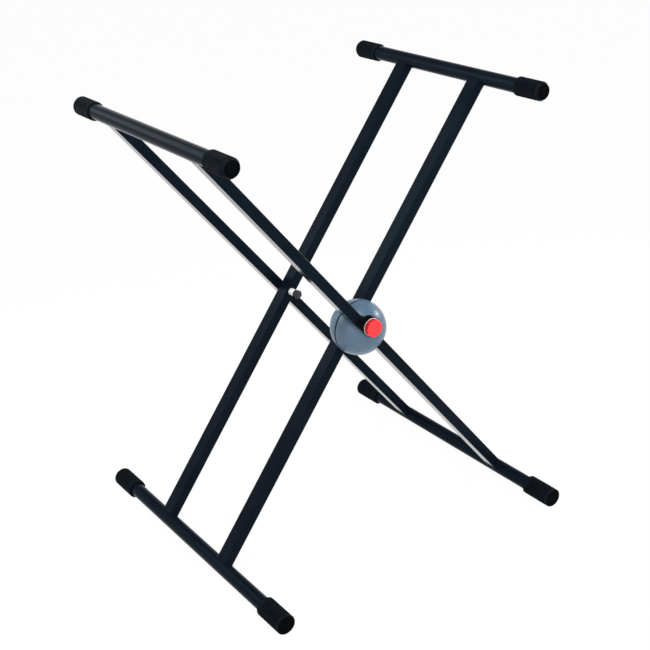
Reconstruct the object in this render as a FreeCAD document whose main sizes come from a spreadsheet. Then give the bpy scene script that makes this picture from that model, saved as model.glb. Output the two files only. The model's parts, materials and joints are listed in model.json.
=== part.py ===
"""Folding keyboard stand: a double-braced X stand with a push-button ball lock.

Two frames of steel tube cross at one pivot axis, which runs along Y. Frame A leans from
the lower left to the upper right, frame B from the lower right to the upper left, as seen
from the front (-Y). Each frame has two rectangular legs, a support bar on top and a foot
bar below, with a rubber cap on each bar end. The front pair of legs is joined by the ball
lock and the rear pair by a plain pivot. The origin is on the floor, under the pivot axis
and midway along the bars. Millimetres, +Z up.

Pieces of a frame are drawn in that frame's own leg system and then turned into place:
local Z runs up along the legs, local X lies across them in the plane of the crossing, Y
is the pivot axis, and the local origin is on that axis.
"""

import FreeCAD, Part

import math
import os

import Sketcher
from FreeCAD import Placement, Rotation, Vector

# ---------------------------------------------------------------- driving dimensions

SIZES = {
    # The crossed frames
    "leg_length": 1030.0,           # foot bar axis to support bar axis, along a leg
    "leg_angle": 51.95,             # leg to floor as the stand is set, in degrees
    "outer_half_spacing": 150.0,    # frame B: bars' middle to the middle of each leg
    "front_leg_gap": 22.0,          # between the crossing legs at the ball lock
    "rear_leg_gap": 4.5,            # between the crossing legs at the plain pivot
    "leg_depth": 30.0,              # leg tube, along Y
    "leg_width": 20.0,              # leg tube, across
    "leg_wall": 1.5,
    "leg_corner": 2.5,              # outer corner radius of the leg tube
    "bar_diameter": 28.0,
    "bar_wall": 1.5,
    "support_length": 538.0,        # support bar over its caps
    "foot_length": 636.0,           # foot bar over its caps
    "weld_gap": 0.1,                # between a coped leg end and its bar
    # Rubber end caps
    "support_cap_wall": 3.4,
    "foot_cap_wall": 4.9,
    "support_cap_length": 62.5,
    "foot_cap_length": 68.0,
    "cap_end_wall": 5.0,
    "cap_mouth_chamfer": 2.0,
    "cap_nose_radius": 2.0,
    "nose_taper": 2.2,              # a support cap's end is this much smaller in radius
    "cap_fit": 0.1,                 # radial, cap bore to bar, and bar end to the cap's floor
    "dish_diameter": 25.0,          # shallow dish in the cap's end
    "dish_depth": 1.2,
    "groove_width": 2.2,            # ring groove behind a support cap's end disc
    "groove_depth": 1.4,
    "end_disc_width": 6.0,
    # Pivot bolts, shared by the front and rear pivots
    "bolt_diameter": 10.0,
    "bolt_hole_clearance": 0.1,     # radial, where bolt and hole don't turn
    "turning_clearance": 0.05,      # radial, where they turn
    "turning_gap": 0.3,             # between faces that turn against each other
    "bolt_head_diameter": 18.0,
    "bolt_head_height": 5.0,
    "bolt_head_round": 2.0,
    "bolt_socket_width": 6.0,       # across the flats of the hex socket
    "bolt_socket_depth": 3.0,
    "bolt_end_proud": 0.3,          # bolt end past its nut
    "bush_wall": 1.95,
    "bush_fit": 0.05,               # radial, bush to leg
    "nut_width": 16.0,              # across flats
    "nut_corner_angle": 30.0,       # of the turned-off corners, in degrees
    "nut_height": 8.4,
    "thin_nut_height": 5.0,
    "washer_diameter": 20.0,
    "washer_thickness": 2.0,
    "spacer_diameter": 24.0,        # washer between the rear legs
    "sleeve_diameter": 14.0,        # light sleeve under the rear nut
    # Ball lock: shells
    "ball_diameter": 104.6,
    "ball_wall": 2.2,
    "seam_gap": 0.6,                # between the two half shells
    "window_clearance": 0.2,        # shell to leg
    "screw_edge": 3.5,              # shell screws' axes to the rim of the steel plates
    "screw_angle": 60.0,            # first screw from the leg's upward direction
    "screw_diameter": 3.9,
    "screw_hole_clearance": 0.1,    # radial
    "screw_length": 9.0,            # below the head
    "screw_head_diameter": 7.0,
    "screw_head_height": 2.2,
    "boss_diameter": 7.2,
    "boss_length": 9.4,
    # Ball lock: toothed cup on frame A, lock plate on frame B
    "plate_thickness": 3.0,
    "plate_clearance": 1.38,        # radial, steel plates to the inside of the ball
    "cup_wall": 4.6,
    "cup_screw_clearance": 1.5,     # radial, cup to the heads of the shell screws
    "tooth_depth": 2.4,             # of the cup's teeth and the lock tooth's
    "tooth_count": 30.0,
    "tooth_root_width": 4.0,
    "tooth_tip_width": 1.8,
    "tooth_thickness": 3.0,
    "tooth_root_sink": 0.5,         # cup teeth into the cup's wall
    "tooth_plate_gap": 0.5,         # cup teeth to lock plate
    "tooth_tip_clearance": 0.4,     # radial, lock tooth to cup teeth
    "lock_spacer_diameter": 16.0,
    # Ball lock: button, pin and tooth block, on frame B
    "button_pin_offset": 9.5,       # button axis to pin axis, across the leg
    "button_diameter": 32.4,
    "button_body_height": 9.4,
    "button_skirt_wall": 2.0,
    "skirt_relief": 1.6,            # radial, button skirt to bolt head
    "button_edge_round": 1.2,
    "button_travel": 4.0,
    "travel_clearance": 0.6,        # pressed button's skirt to the leg's face
    "head_clearance": 0.9,          # pressed button's back to the bolt's head
    "pin_diameter": 8.0,
    "pin_leg_clearance": 0.8,       # pin's boss to the tube's side
    "pin_boss_wall": 2.0,
    "pin_boss_depth": 4.9,
    "pin_seat_depth": 3.0,          # pin's hold in the button, past the button's back
    "spigot_diameter": 5.0,
    "spigot_proud": 0.5,
    "block_reach": 7.34,            # pin axis to the lock tooth's tips
    "block_back": 5.26,             # pin axis to the block's inner side
    "block_half_width": 8.0,
    "block_plate_gap": 0.3,         # tooth block to lock plate: the button's outer stop
    "spring_pin_clearance": 0.6,    # radial
    "spring_wire": 1.1,
    "spring_turns": 8.0,
    "spring_seat_gap": 0.1,
    # Ball lock: button cowl and guide ring
    "cowl_collar_wall": 2.4,        # collar outside the button
    "button_proud": 9.8,            # button face above the collar
    "cowl_base_height": 20.0,       # inner end of the cowl's skirt, from the ball's middle
    "cowl_base_clearance": 2.0,     # cowl's inner end to the end of the ball's cut-out
    "cowl_bore_clearance": 0.2,     # radial, collar bore to button
    "cowl_head_relief": 0.6,        # cowl to bolt head
    "cowl_reach": 28.5,             # button axis to the ramp's start, up the leg
    "cowl_mouth_inset": 0.2,        # ramp's start from each side of the leg
    "cowl_mouth_lip": 0.6,          # ramp above the leg's face at its start
    "ramp_top_reach": 19.0,         # button axis to the ramp's top, up the leg
    "shoulder_reach": 2.5,          # button axis to the collar's shoulder, up the leg
    "shoulder_inset": 0.2,          # shoulder inside the collar's width
    "cowl_fit": 0.15,               # cowl to ball shell and to leg
    "ramp_cut_margin": 5.0,         # how far the ramp's cut runs past the cowl
    "guide_ring_wall": 1.0,
    "guide_ring_height": 2.5,
    "guide_ring_proud": 0.4,
    "guide_clearance": 0.1,         # radial, ring to button
}

document = FreeCAD.newDocument("keyboard_stand")


class Size:
    """A number together with the sheet expression that gives it."""

    def __init__(self, value, text):
        self.value = value
        self.text = text

    @staticmethod
    def of(other):
        return other if isinstance(other, Size) else Size(float(other), repr(float(other)))

    def __add__(self, other):
        other = Size.of(other)
        return Size(self.value + other.value, f"({self.text} + {other.text})")

    def __sub__(self, other):
        other = Size.of(other)
        return Size(self.value - other.value, f"({self.text} - {other.text})")

    def __mul__(self, other):
        other = Size.of(other)
        return Size(self.value * other.value, f"({self.text} * {other.text})")

    def __truediv__(self, other):
        other = Size.of(other)
        return Size(self.value / other.value, f"({self.text} / {other.text})")

    def __neg__(self):
        return self * -1

    def __radd__(self, other):
        return Size.of(other) + self

    def __rsub__(self, other):
        return Size.of(other) - self

    def __rmul__(self, other):
        return Size.of(other) * self

    def __rtruediv__(self, other):
        return Size.of(other) / self


def sine(degrees):
    return Size(math.sin(math.radians(degrees.value)), f"sin({degrees.text} * 1 deg)")


def cosine(degrees):
    return Size(math.cos(math.radians(degrees.value)), f"cos({degrees.text} * 1 deg)")


def root(size):
    return Size(math.sqrt(size.value), f"sqrt({size.text})")


def angle_of(across, along):
    """Degrees from local Z towards local X of a point across and along the leg."""
    degrees = math.degrees(math.atan2(across.value, along.value))
    return Size(degrees, f"(atan2({across.text}; {along.text}) / 1 deg)")


class Sizes:
    """The driving dimensions: a sheet in the document, and one Size for each of its cells."""

    def __init__(self, values):
        sheet = document.addObject("Spreadsheet::Sheet", "Sizes")
        for row, (alias, value) in enumerate(values.items(), start=1):
            sheet.set(f"A{row}", alias)
            sheet.set(f"B{row}", str(value))
            sheet.setAlias(f"B{row}", alias)
            setattr(self, alias, Size(value, f"Sizes.{alias}"))
        document.recompute()


S = Sizes(SIZES)

# ------------------------------------------------------------- places worked out once

HALF_LEG = S.leg_length / 2
TILT = 90 - S.leg_angle
BAR_RADIUS = S.bar_diameter / 2
SUPPORT_CAP_RADIUS = BAR_RADIUS + S.cap_fit + S.support_cap_wall
FOOT_CAP_RADIUS = BAR_RADIUS + S.cap_fit + S.foot_cap_wall
PIVOT_HEIGHT = FOOT_CAP_RADIUS + HALF_LEG * sine(S.leg_angle)

LEG_B_FRONT_Y = -S.outer_half_spacing
LEG_A_FRONT_Y = LEG_B_FRONT_Y + S.leg_depth + S.front_leg_gap
LEG_B_REAR_Y = S.outer_half_spacing
LEG_A_REAR_Y = LEG_B_REAR_Y - S.leg_depth - S.rear_leg_gap

BOLT_HOLE_RADIUS = S.bolt_diameter / 2 + S.bolt_hole_clearance
TURNING_HOLE_RADIUS = S.bolt_diameter / 2 + S.turning_clearance
BUSH_RADIUS = TURNING_HOLE_RADIUS + S.bush_wall

# Heights in the lock, from the ball's middle plane
BALL_Y = (LEG_B_FRONT_Y + LEG_A_FRONT_Y) / 2
LEG_FACE = S.front_leg_gap / 2            # the legs' inner faces
LEG_OUTER_FACE = LEG_FACE + S.leg_depth   # and their outer faces
PLATE_BACK = LEG_FACE - S.plate_thickness
TOOTH_FRONT = PLATE_BACK - S.tooth_plate_gap
TOOTH_BACK = TOOTH_FRONT - S.tooth_thickness
BLOCK_FRONT = PLATE_BACK - S.block_plate_gap
BUTTON_BACK = LEG_OUTER_FACE + S.bolt_head_height + S.button_travel + S.head_clearance
BUTTON_FACE = BUTTON_BACK + S.button_body_height
BOSS_END = BUTTON_BACK - S.pin_boss_depth
COWL_TOP = BUTTON_FACE - S.button_proud

# From the ball inwards: steel plates, shell screws, cup, its teeth and the lock tooth
BALL_RADIUS = S.ball_diameter / 2
HOLLOW_RADIUS = BALL_RADIUS - S.ball_wall
PLATE_RADIUS = root(HOLLOW_RADIUS * HOLLOW_RADIUS - LEG_FACE * LEG_FACE) - S.plate_clearance
SCREW_RADIUS = PLATE_RADIUS - S.screw_edge
CUP_OUTER_RADIUS = SCREW_RADIUS - S.screw_head_diameter / 2 - S.cup_screw_clearance
CUP_INNER_RADIUS = CUP_OUTER_RADIUS - S.cup_wall
CUP_TIP_RADIUS = CUP_INNER_RADIUS - S.tooth_depth
BLOCK_TIP_RADIUS = CUP_TIP_RADIUS - S.tooth_tip_clearance
PIN_RADIUS = BLOCK_TIP_RADIUS - S.block_reach

# The lock pin passes beside leg B, at that radius, and the button is centred over both.
PIN_BOSS_RADIUS = S.pin_diameter / 2 + S.pin_boss_wall
PIN_ACROSS = S.leg_width / 2 + S.pin_leg_clearance + PIN_BOSS_RADIUS
BUTTON_ALONG = root(PIN_RADIUS * PIN_RADIUS - PIN_ACROSS * PIN_ACROSS)
BUTTON_ACROSS = PIN_ACROSS - S.button_pin_offset
BUTTON_RADIUS = S.button_diameter / 2
GUIDE_RING_BORE = BUTTON_RADIUS + S.guide_clearance
GUIDE_RING_RADIUS = GUIDE_RING_BORE + S.guide_ring_wall
COLLAR_RADIUS = BUTTON_RADIUS + S.cowl_collar_wall
PIN_ANGLE = angle_of(PIN_ACROSS, BUTTON_ALONG)

THROUGH_BALL = 4 * BALL_RADIUS            # depth of a cut that runs right out of the ball
WINDOW_WIDTH = S.leg_width + 2 * S.window_clearance

# Both pivots use the same bolt. A sleeve takes up the length that the lock needs in front.
BOLT_LENGTH = (2 * S.leg_depth + S.front_leg_gap + S.turning_gap
               + S.washer_thickness + S.thin_nut_height + S.bolt_end_proud)
SLEEVE_LENGTH = (BOLT_LENGTH - 2 * S.leg_depth - S.rear_leg_gap - S.turning_gap
                 - S.nut_height - S.bolt_end_proud)

NEAR = 0.01     # places this close are taken as the same

# ------------------------------------------------------------------ drawing and bodies


def bind(item, name, size):
    """Tie one property of a document object to the sheet."""
    item.setExpression(name, Size.of(size).text)


def new_body(label):
    body = document.addObject("PartDesign::Body", label)
    body.Label = label
    return body


def origin_feature(body, role):
    return next(item for item in body.Origin.OriginFeatures if item.Role == role)


class Sketch:
    """A sketch on one of a body's origin planes, with every size tied to the sheet."""

    def __init__(self, body, role, offset=0, turn=0):
        self.item = body.newObject("Sketcher::SketchObject", "Sketch")
        self.item.AttachmentSupport = [(origin_feature(body, role), "")]
        self.item.MapMode = "FlatFace"
        self.item.AttachmentOffset = Placement(Vector(), Rotation(Vector(0, 0, 1), 0))
        bind(self.item, "AttachmentOffset.Base.z", offset)
        bind(self.item, "AttachmentOffset.Rotation.Angle", turn)

    def drive(self, constraint, size):
        index = self.item.addConstraint(constraint)
        bind(self.item, f"Constraints[{index}]", size)

    def place(self, geometry, vertex, x, y):
        """Hold one vertex of a curve at x, y from the sketch's origin."""
        for kind, size in (("DistanceX", x), ("DistanceY", y)):
            size = Size.of(size)
            self.drive(Sketcher.Constraint(kind, -1, 1, geometry, vertex, size.value), size)

    def circle(self, radius, x=0, y=0):
        radius, x, y = Size.of(radius), Size.of(x), Size.of(y)
        centre = Vector(x.value, y.value, 0)
        index = self.item.addGeometry(Part.Circle(centre, Vector(0, 0, 1), radius.value))
        self.drive(Sketcher.Constraint("Radius", index, radius.value), radius)
        self.place(index, 3, x, y)
        return self

    def polygon(self, points):
        """A closed outline with straight sides through the points, given as (x, y)."""
        corners = [(Size.of(x), Size.of(y)) for x, y in points]
        vectors = [Vector(x.value, y.value, 0) for x, y in corners]
        first = self.item.GeometryCount
        for start, end in zip(vectors, vectors[1:] + vectors[:1]):
            self.item.addGeometry(Part.LineSegment(start, end))
        for number in range(len(corners)):
            following = first + (number + 1) % len(corners)
            self.item.addConstraint(
                Sketcher.Constraint("Coincident", first + number, 2, following, 1))
        for number, (x, y) in enumerate(corners):
            self.place(first + number, 1, x, y)
        return self

    def rectangle(self, x_low, x_high, y_low, y_high):
        return self.polygon([(x_low, y_low), (x_high, y_low), (x_high, y_high), (x_low, y_high)])

    def hexagon(self, across_flats):
        radius = Size.of(across_flats) / math.sqrt(3)
        turns = [math.radians(60 * step) for step in range(6)]
        return self.polygon([(radius * math.cos(a), radius * math.sin(a)) for a in turns])


def pad(body, sketch, length, midplane=False):
    feature = body.newObject("PartDesign::Pad", "Pad")
    feature.Profile = sketch.item
    feature.Midplane = midplane
    bind(feature, "Length", length)
    return feature


def pocket(body, sketch, length, midplane=False, reverse=False):
    feature = body.newObject("PartDesign::Pocket", "Pocket")
    feature.Profile = sketch.item
    feature.Midplane = midplane
    feature.Reversed = reverse
    bind(feature, "Length", length)
    return feature


def revolution(body, sketch):
    """Turn a sketch of the XY plane about Y: its x is a radius and its y a height."""
    feature = body.newObject("PartDesign::Revolution", "Revolution")
    feature.Profile = sketch.item
    feature.ReferenceAxis = (sketch.item, ["V_Axis"])
    return feature


def polar_pattern(body, feature, count):
    pattern = body.newObject("PartDesign::PolarPattern", "PolarPattern")
    pattern.Originals = [feature]
    pattern.Axis = (origin_feature(body, "Y_Axis"), [""])
    pattern.Angle = 360
    bind(pattern, "Occurrences", count)
    body.Tip = pattern
    return pattern


def edges_where(body, chosen):
    """Names of the edges of a body's present shape for which chosen(edge) is true."""
    document.recompute()
    edges = body.Tip.Shape.Edges
    return [f"Edge{number}" for number, edge in enumerate(edges, start=1) if chosen(edge)]


def is_rim(radius, y):
    """A test for the whole circular edge of that radius, square to Y at that y."""
    def chosen(edge):
        if not isinstance(edge.Curve, Part.Circle):
            return False
        at_radius = abs(edge.Curve.Radius - radius.value) < NEAR
        return at_radius and abs(edge.CenterOfMass.y - y.value) < NEAR
    return chosen


def fillet(body, radius, chosen):
    names = edges_where(body, chosen)
    rounded = body.Tip
    feature = body.newObject("PartDesign::Fillet", "Fillet")
    feature.Base = (rounded, names)
    bind(feature, "Radius", radius)
    return feature


def disc_between(body, radius, low, high, x=0, y=0):
    """Pad a disc across Y, from low to high towards the front (-Y)."""
    return pad(body, Sketch(body, "XZ_Plane", low).circle(radius, x, y),
               Size.of(high) - low)


def bore_between(body, radius, low, high, x=0, y=0):
    """Cut a round hole along Y, from low to high towards the front (-Y)."""
    return pocket(body, Sketch(body, "XZ_Plane", low).circle(radius, x, y),
                  Size.of(high) - low, reverse=True)


def set_in_frame(item, side, y, along=0, extra_turn=0):
    """Turn a piece about Y into frame A (side +1) or B (side -1) and put it on the pivot.

    along moves it up that frame's legs.
    """
    tilt = side * TILT
    item.Placement = Placement(Vector(), Rotation(Vector(0, 1, 0), 1))
    bind(item, "Placement.Rotation.Angle", tilt + extra_turn)
    bind(item, "Placement.Base.x", Size.of(along) * sine(tilt))
    bind(item, "Placement.Base.y", y)
    bind(item, "Placement.Base.z", PIVOT_HEIGHT + Size.of(along) * cosine(tilt))
    return item


# ------------------------------------------------------------------------- the frames


def make_leg(label, side, y, hole_radius):
    """A rectangular tube, coped at both ends round the bars and drilled at the pivot."""
    body = new_body(label)
    half_width, half_depth = S.leg_width / 2, S.leg_depth / 2
    inner_width, inner_depth = half_width - S.leg_wall, half_depth - S.leg_wall
    outline = Sketch(body, "XY_Plane").rectangle(-half_width, half_width, -half_depth, half_depth)
    pad(body, outline, S.leg_length, midplane=True)

    def runs_along_leg(edge):
        return abs(edge.Length - S.leg_length.value) < NEAR

    def is_inner_corner(edge):
        middle = edge.CenterOfMass
        in_width = abs(middle.x) < inner_width.value + NEAR
        return runs_along_leg(edge) and in_width and abs(middle.y) < inner_depth.value + NEAR

    fillet(body, S.leg_corner, runs_along_leg)
    bore = Sketch(body, "XY_Plane").rectangle(-inner_width, inner_width, -inner_depth, inner_depth)
    pocket(body, bore, S.leg_length, midplane=True)
    fillet(body, S.leg_corner - S.leg_wall, is_inner_corner)
    cope_radius = BAR_RADIUS + S.weld_gap
    cope = Sketch(body, "XZ_Plane")
    cope.circle(cope_radius, 0, HALF_LEG).circle(cope_radius, 0, -HALF_LEG)
    pocket(body, cope, 2 * S.leg_depth, midplane=True)
    pocket(body, Sketch(body, "XZ_Plane").circle(hole_radius), 2 * S.leg_depth, midplane=True)
    return set_in_frame(body, side, y)


def make_bar(label, side, overall_length, along):
    """A round tube that ends inside its two rubber caps."""
    body = new_body(label)
    profile = Sketch(body, "XZ_Plane").circle(BAR_RADIUS).circle(BAR_RADIUS - S.bar_wall)
    pad(body, profile, overall_length - 2 * (S.cap_end_wall + S.cap_fit), midplane=True)
    return set_in_frame(body, side, 0, along)


def make_cap(label, side, along, y_end, length, grooved, end):
    """A rubber cup pushed over the bar's rear end (end +1) or front end (end -1).

    Its profile runs from its mouth to its closed end.
    """
    body = new_body(label)
    outer = SUPPORT_CAP_RADIUS if grooved else FOOT_CAP_RADIUS
    nose = outer - S.nose_taper if grooved else outer
    inner = BAR_RADIUS + S.cap_fit
    floor = length - S.cap_end_wall
    chamfer = S.cap_mouth_chamfer
    dish = S.dish_diameter / 2
    outline = [(inner, 0), (outer - chamfer, 0), (outer, chamfer)]
    if grooved:
        groove_high = length - S.end_disc_width
        groove_low = groove_high - S.groove_width
        waist = outer - S.groove_depth
        outline += [(outer, groove_low), (waist, groove_low), (waist, groove_high),
                    (outer, groove_high)]
    outline += [(nose, length), (dish, length), (dish, length - S.dish_depth),
                (0, length - S.dish_depth), (0, floor), (inner, floor)]
    profile = [(radius, end * y) for radius, y in outline]
    revolution(body, Sketch(body, "XY_Plane").polygon(profile))
    fillet(body, S.cap_nose_radius, is_rim(nose, end * length))
    return set_in_frame(body, side, end * (y_end - length), along)


def make_frame(name, side, front_y, rear_y, hole_radius):
    """Two legs, two bars and four caps of one frame."""
    make_leg(f"leg_{name}_front", side, front_y, hole_radius)
    make_leg(f"leg_{name}_rear", side, rear_y, hole_radius)
    bars = (("support", S.support_length, S.support_cap_length, HALF_LEG, True),
            ("foot", S.foot_length, S.foot_cap_length, -HALF_LEG, False))
    for bar, overall, cap_length, along, grooved in bars:
        make_bar(f"{bar}_bar_{name}", side, overall, along)
        for place, end in (("front", -1), ("rear", +1)):
            make_cap(f"{bar}_cap_{name}_{place}", side, along, overall / 2, cap_length,
                     grooved, end)


# ------------------------------------------------------------------- pivots and bolts
# Pieces on the pivot axis are drawn from their own front end, which is at local y 0.


def make_ring(label, side, front_y, back_y, outer_radius, hole_radius):
    """A round spacer, washer, bush or sleeve from front_y to back_y along the pivot."""
    body = new_body(label)
    profile = Sketch(body, "XZ_Plane").circle(outer_radius).circle(hole_radius)
    pad(body, profile, back_y - front_y)
    return set_in_frame(body, side, back_y)


def make_nut(label, front_y, back_y):
    """A hexagon nut, its corners turned off from the flats' own circle at both faces."""
    body = new_body(label)
    height = back_y - front_y
    pad(body, Sketch(body, "XZ_Plane").hexagon(S.nut_width), height)
    inner, outer = S.nut_width / 2, S.nut_width
    depth = (outer - inner) * sine(S.nut_corner_angle) / cosine(S.nut_corner_angle)
    for face, inward in ((Size.of(0), -depth), (-height, depth)):
        trim = Sketch(body, "XY_Plane")
        trim.polygon([(inner, face), (outer, face), (outer, face + inward)])
        groove = body.newObject("PartDesign::Groove", "Groove")
        groove.Profile = trim.item
        groove.ReferenceAxis = (trim.item, ["V_Axis"])
    bore_between(body, BOLT_HOLE_RADIUS, 0, height)
    return set_in_frame(body, -1, back_y)


def make_bolt(label, seat_y, head_at_front):
    """A low round-headed bolt with a hexagon socket. Local y 0 is the seat of its head."""
    body = new_body(label)
    head, top = S.bolt_head_diameter / 2, S.bolt_head_height
    if head_at_front:
        disc_between(body, S.bolt_diameter / 2, -BOLT_LENGTH, 0)
        disc_between(body, head, 0, top)
        fillet(body, S.bolt_head_round, is_rim(head, -top))
    else:
        disc_between(body, S.bolt_diameter / 2, 0, BOLT_LENGTH)
        disc_between(body, head, -top, 0)
        fillet(body, S.bolt_head_round, is_rim(head, top))
    socket = Sketch(body, "XZ_Plane", top if head_at_front else -top)
    socket.hexagon(S.bolt_socket_width)
    pocket(body, socket, S.bolt_socket_depth, reverse=not head_at_front)
    return set_in_frame(body, -1, seat_y)


def make_pivots():
    """Bushes on frame A; bolts, washers, sleeve and nuts on frame B."""
    half_depth = S.leg_depth / 2
    for name, y in (("front", LEG_A_FRONT_Y), ("rear", LEG_A_REAR_Y)):
        make_ring(f"pivot_bush_{name}", +1, y - half_depth, y + half_depth,
                  BUSH_RADIUS, TURNING_HOLE_RADIUS)

    # Front: the nut sits behind leg A, inside the ball.
    leg_back = LEG_A_FRONT_Y + half_depth
    washer_front = leg_back + S.turning_gap
    nut_front = washer_front + S.washer_thickness
    make_bolt("pivot_bolt_front", LEG_B_FRONT_Y - half_depth, head_at_front=True)
    make_ring("pivot_washer_front", -1, washer_front, nut_front,
              S.washer_diameter / 2, BOLT_HOLE_RADIUS)
    make_nut("pivot_nut_front", nut_front, nut_front + S.thin_nut_height)

    # Rear: the bolt's head is behind leg B, its sleeve and nut in front of leg A.
    make_bolt("pivot_bolt_rear", LEG_B_REAR_Y + half_depth, head_at_front=False)
    make_ring("rear_spacer_washer", -1, LEG_A_REAR_Y + half_depth + S.turning_gap,
              LEG_B_REAR_Y - half_depth, S.spacer_diameter / 2, BOLT_HOLE_RADIUS)
    sleeve_back = LEG_A_REAR_Y - half_depth - S.turning_gap
    sleeve_front = sleeve_back - SLEEVE_LENGTH
    make_ring("pivot_sleeve_rear", -1, sleeve_front, sleeve_back,
              S.sleeve_diameter / 2, BOLT_HOLE_RADIUS)
    make_nut("pivot_nut_rear", sleeve_front - S.nut_height, sleeve_front)


# ---------------------------------------------------------------------- the ball lock
# Lock pieces are drawn from the ball's centre. Heights are towards the front, so those
# of the front half are positive and those of the rear half negative.


def screw_places():
    """Across and along the leg for the four shell screws."""
    turns = (S.screw_angle, 180 - S.screw_angle, -S.screw_angle, S.screw_angle - 180)
    return [(SCREW_RADIUS * sine(turn), SCREW_RADIUS * cosine(turn)) for turn in turns]


def cowl_outline(body, low, grow):
    """Sketches of the cowl's outline, seen from the front: a collar and a ramp."""
    collar = Sketch(body, "XZ_Plane", low)
    collar.circle(COLLAR_RADIUS + grow, BUTTON_ACROSS, BUTTON_ALONG)
    half = S.leg_width / 2 - S.cowl_mouth_inset + grow
    mouth_along = BUTTON_ALONG + S.cowl_reach + grow
    shoulder_across = COLLAR_RADIUS - S.shoulder_inset + grow
    shoulder_along = BUTTON_ALONG + S.shoulder_reach
    ramp = Sketch(body, "XZ_Plane", low)
    ramp.polygon([(-half, mouth_along), (half, mouth_along),
                  (shoulder_across, shoulder_along), (-half, shoulder_along)])
    return collar, ramp


def leg_window(body, low, high, width):
    """Cut the way for a leg through the ball, from low to high towards the front."""
    way = Sketch(body, "XY_Plane").rectangle(-width / 2, width / 2, -high, -low)
    pocket(body, way, THROUGH_BALL, midplane=True)


def make_half_shell(label, side, front):
    """Half of the hollow ball, with a window for its leg and four screw bosses."""
    body = new_body(label)
    poles_on_pivot = Placement(Vector(), Rotation(Vector(1, 0, 0), 90))
    ball = body.newObject("PartDesign::AdditiveSphere", "Ball")
    bind(ball, "Radius", BALL_RADIUS)
    ball.Placement = poles_on_pivot
    hollow = body.newObject("PartDesign::SubtractiveSphere", "Hollow")
    bind(hollow, "Radius", HOLLOW_RADIUS)
    hollow.Placement = poles_on_pivot
    half_gap = S.seam_gap / 2
    other_half = Sketch(body, "XZ_Plane", half_gap if front else -half_gap)
    other_half.rectangle(-THROUGH_BALL, THROUGH_BALL, -THROUGH_BALL, THROUGH_BALL)
    pocket(body, other_half, THROUGH_BALL, reverse=not front)
    base, end = LEG_FACE, LEG_FACE + S.boss_length
    boss_low, boss_high = (base, end) if front else (-end, -base)
    for across, along in screw_places():
        disc_between(body, S.boss_diameter / 2, boss_low, boss_high, across, along)
    pilot = S.screw_diameter / 2 + S.screw_hole_clearance
    for across, along in screw_places():
        bore_between(body, pilot, boss_low, boss_high, across, along)
    low, high = LEG_FACE - S.window_clearance, LEG_OUTER_FACE + S.window_clearance
    leg_window(body, *((low, high) if front else (-high, -low)), WINDOW_WIDTH)
    if front:
        cut_low = S.cowl_base_height - S.cowl_base_clearance
        for outline in cowl_outline(body, cut_low, S.cowl_fit):
            pocket(body, outline, THROUGH_BALL, reverse=True)
    return set_in_frame(body, side, BALL_Y)


def make_shell_screws(label, side, front):
    """Four screws from the lock's inside into one half shell, as one group."""
    shank, head = S.screw_diameter / 2, S.screw_head_diameter / 2
    height = S.screw_head_height
    seat = PLATE_BACK if front else -PLATE_BACK
    screws = []
    for number, (across, along) in enumerate(screw_places()):
        body = new_body(f"{label}_{number}")
        if front:
            disc_between(body, shank, seat, seat + S.screw_length, across, along)
            disc_between(body, head, seat - height, seat, across, along)
        else:
            disc_between(body, shank, seat - S.screw_length, seat, across, along)
            disc_between(body, head, seat, seat + height, across, along)
        screws.append(body)
    group = document.addObject("Part::Compound", label)
    group.Label = label
    group.Links = screws
    return set_in_frame(group, side, BALL_Y)


def drill_screw_holes(body, low, high):
    for across, along in screw_places():
        bore_between(body, S.screw_diameter / 2 + S.screw_hole_clearance, low, high, across, along)


def make_toothed_cup():
    """Steel cup on leg A: a flange that carries the rear shell, and a ring of inner teeth."""
    body = new_body("toothed_cup")
    disc_between(body, PLATE_RADIUS, -LEG_FACE, -PLATE_BACK)
    wall = Sketch(body, "XZ_Plane", -PLATE_BACK)
    wall.circle(CUP_OUTER_RADIUS).circle(CUP_INNER_RADIUS)
    pad(body, wall, PLATE_BACK + TOOTH_FRONT)
    bore_between(body, TURNING_HOLE_RADIUS, -LEG_FACE, 0)
    drill_screw_holes(body, -LEG_FACE, 0)
    # The lock tooth stands in the middle of a gap: both frames' tilts lie between them.
    phase = PIN_ANGLE - 2 * TILT + 180 / S.tooth_count
    root_radius = CUP_INNER_RADIUS + S.tooth_root_sink
    half_root, half_tip = S.tooth_root_width / 2, S.tooth_tip_width / 2
    tooth = Sketch(body, "XZ_Plane", TOOTH_BACK, turn=-phase)
    tooth.polygon([(-half_root, root_radius), (half_root, root_radius),
                   (half_tip, CUP_TIP_RADIUS), (-half_tip, CUP_TIP_RADIUS)])
    polar_pattern(body, pad(body, tooth, S.tooth_thickness), S.tooth_count)
    return set_in_frame(body, +1, BALL_Y)


def make_lock_plate():
    """Steel plate on leg B's inner face: it guides the pin and carries the front shell."""
    body = new_body("lock_plate")
    disc_between(body, PLATE_RADIUS, PLATE_BACK, LEG_FACE)
    bore_between(body, BOLT_HOLE_RADIUS, PLATE_BACK, LEG_FACE)
    bore_between(body, S.pin_diameter / 2 + S.turning_clearance, PLATE_BACK, LEG_FACE,
                 PIN_ACROSS, BUTTON_ALONG)
    drill_screw_holes(body, PLATE_BACK, LEG_FACE)
    return set_in_frame(body, -1, BALL_Y)


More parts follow.
